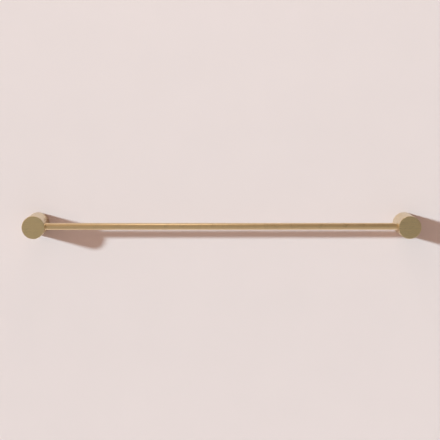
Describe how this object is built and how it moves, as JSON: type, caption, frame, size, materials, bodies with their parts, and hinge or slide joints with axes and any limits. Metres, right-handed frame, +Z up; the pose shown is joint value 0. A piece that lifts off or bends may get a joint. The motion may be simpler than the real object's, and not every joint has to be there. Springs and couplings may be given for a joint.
{
  "type": "towel rail",
  "caption": "Wall-mounted towel rail: a thin round bar held between two plain round posts, in satin brushed brass, with concealed fixing plates and screws.",
  "frame": {"origin": "on the wall plane, midway between the posts, at the height of their axes", "axes": "+X along the rail to the right as seen from the room, +Y into the wall, +Z up"},
  "size_m": [0.75, 0.114, 0.043],
  "materials": {
    "satin_brass": "satin brushed",
    "bare_brass": "machined",
    "stainless_steel": "plain stainless",
    "zinc_plated_steel": "bright zinc plated"
  },
  "bodies": {
    "root": {"rail_tube": "satin_brass", "post_left": "satin_brass", "rail_end_plug_left": "bare_brass", "mounting_plate_left": "bare_brass", "post_grub_screw_left": "stainless_steel", "rail_set_screw_left": "stainless_steel", "wall_screw_left_upper": "zinc_plated_steel", "washer_left_upper": "zinc_plated_steel", "wall_screw_left_lower": "zinc_plated_steel", "washer_left_lower": "zinc_plated_steel", "post_right": "satin_brass", "rail_end_plug_right": "bare_brass", "mounting_plate_right": "bare_brass", "post_grub_screw_right": "stainless_steel", "rail_set_screw_right": "stainless_steel", "wall_screw_right_upper": "zinc_plated_steel", "washer_right_upper": "zinc_plated_steel", "wall_screw_right_lower": "zinc_plated_steel", "washer_right_lower": "zinc_plated_steel"}
  },
  "joints": []
}
